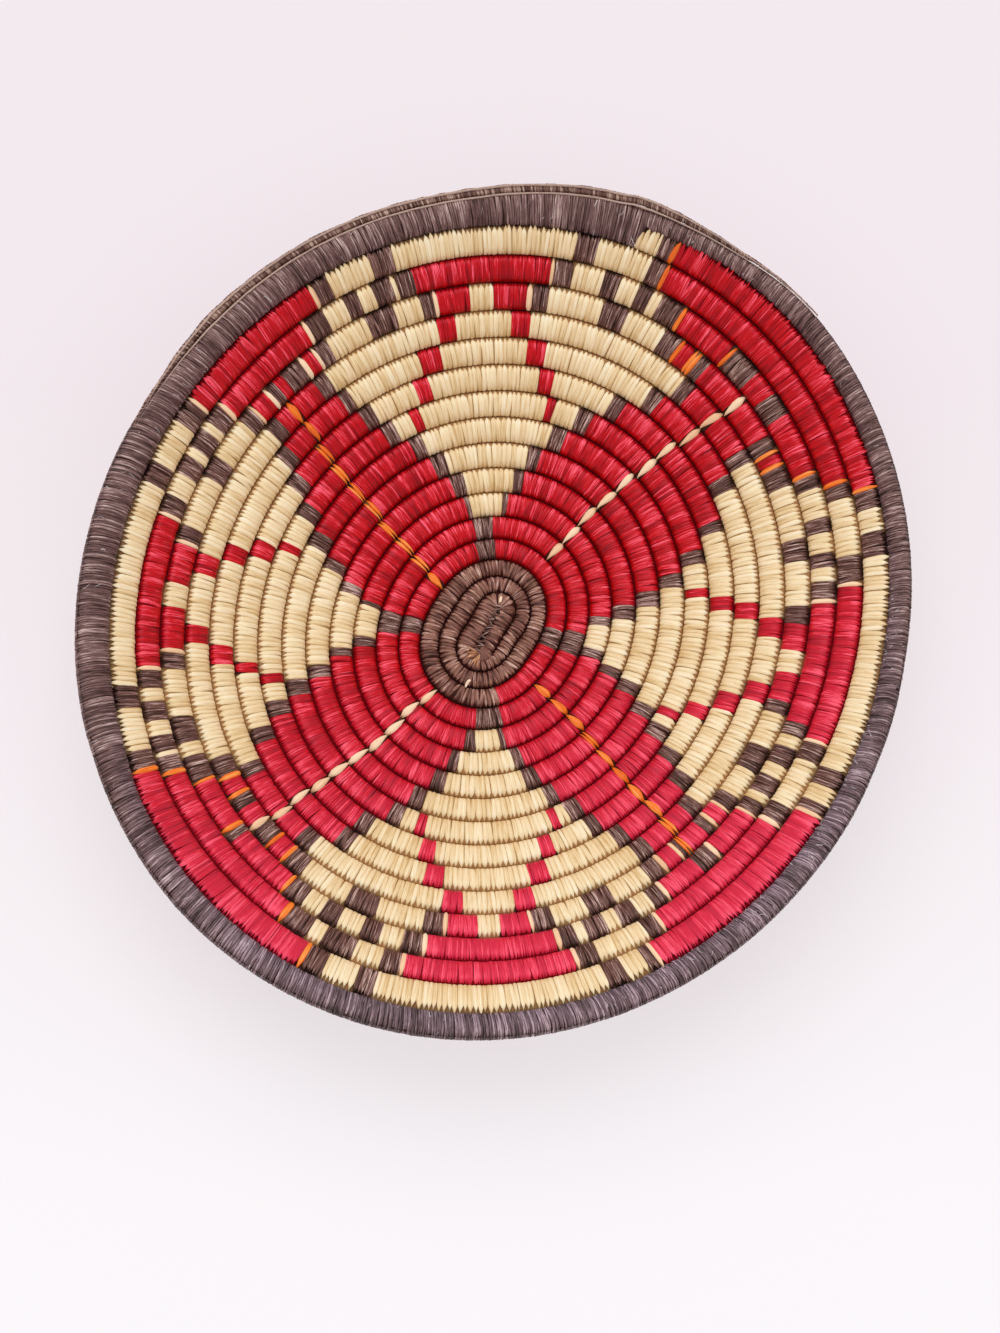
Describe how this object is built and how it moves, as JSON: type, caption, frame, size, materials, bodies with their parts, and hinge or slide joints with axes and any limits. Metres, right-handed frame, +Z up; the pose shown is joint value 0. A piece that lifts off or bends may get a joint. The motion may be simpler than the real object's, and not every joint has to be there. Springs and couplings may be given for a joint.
{
  "type": "coiled basket tray",
  "caption": "Shallow oval coiled basket tray: one wound grass bundle wrapped in dyed palm stitches, with a dark overcast rim.",
  "frame": {"origin": "under the middle of the tray's bounding box, on the surface that it stands on", "axes": "+Z up out of the tray's hollow side; the coil ends near +Y, a little towards +X; X and Y lie in the rim's plane"},
  "size_m": [0.3148, 0.3318, 0.0564],
  "materials": {
    "natural_stitches": "undyed split palm strand, satin",
    "red_stitches": "dyed split palm strand, satin",
    "brown_stitches": "dyed split palm strand, satin",
    "rim_stitches": "dyed split palm strand, worn satin",
    "grass": "dry grass bundle, matt",
    "pale_strand": "undyed strand, matt"
  },
  "bodies": {
    "root": {"grass_bundle": "grass", "rim_bundle": "grass", "rim_wrapping": "rim_stitches", "edge_strand_1": "pale_strand", "edge_strand_2": "pale_strand", "wrapped_turn_01": "brown_stitches", "wrapped_turn_02": "brown_stitches", "wrapped_turn_03": "red_stitches", "wrapped_turn_04": "red_stitches", "wrapped_turn_05": "red_stitches", "wrapped_turn_06": "red_stitches", "wrapped_turn_07": "red_stitches", "wrapped_turn_08": "natural_stitches", "wrapped_turn_09": "natural_stitches", "wrapped_turn_10": "natural_stitches", "wrapped_turn_11": "natural_stitches", "wrapped_turn_12": "natural_stitches", "wrapped_turn_13": "natural_stitches", "wrapped_turn_14": "natural_stitches", "wrapped_turn_15": "natural_stitches", "wrapped_turn_16": "natural_stitches"}
  },
  "joints": []
}
